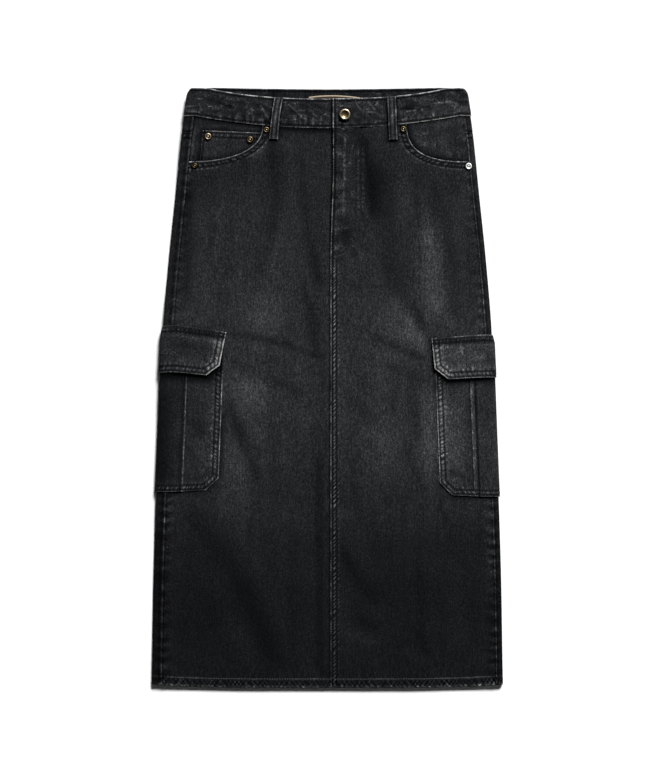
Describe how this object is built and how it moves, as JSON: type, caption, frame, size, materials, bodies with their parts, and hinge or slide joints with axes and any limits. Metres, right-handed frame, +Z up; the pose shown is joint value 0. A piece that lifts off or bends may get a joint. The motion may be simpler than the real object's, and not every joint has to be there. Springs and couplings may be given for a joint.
{
  "type": "cargo utility skirt",
  "caption": "Washed black denim cargo midi skirt laid flat on its back, with a buttoned fly, curved front pockets and flapped box-pleat pockets over the side seams.",
  "frame": {"origin": "centre of the laid skirt on the surface it lies on", "axes": "+Y from the hem to the waist, +X to the wearer's left, +Z up out of the front panel"},
  "size_m": [0.469, 0.8, 0.0164],
  "materials": {
    "black_denim": "washed black cotton twill, matt, worn pale along its edges and seams",
    "antique_brass": "antique brass plating, satin, darker in its hollows",
    "nickel": "bright nickel plating",
    "label_cloth": "plain woven label, gold-brown, left bare"
  },
  "bodies": {
    "root": {"waistband": "black_denim", "front_left": "black_denim", "front_right": "black_denim", "back_left": "black_denim", "back_right": "black_denim", "yoke_left": "black_denim", "yoke_right": "black_denim", "pocket_facing_left": "black_denim", "pocket_facing_right": "black_denim", "coin_pocket": "black_denim", "cargo_pocket_left": "black_denim", "cargo_pocket_right": "black_denim", "cargo_flap_left": "black_denim", "cargo_flap_right": "black_denim", "belt_loop_front_left": "black_denim", "belt_loop_front_right": "black_denim", "belt_loop_back_left": "black_denim", "belt_loop_back_centre": "black_denim", "belt_loop_back_right": "black_denim", "button": "antique_brass", "rivet_right_mouth_inner": "antique_brass", "rivet_right_mouth_outer": "antique_brass", "rivet_coin_outer": "antique_brass", "rivet_coin_inner": "antique_brass", "rivet_left_mouth_inner": "antique_brass", "rivet_left_mouth_outer": "nickel", "label": "label_cloth"}
  },
  "joints": []
}
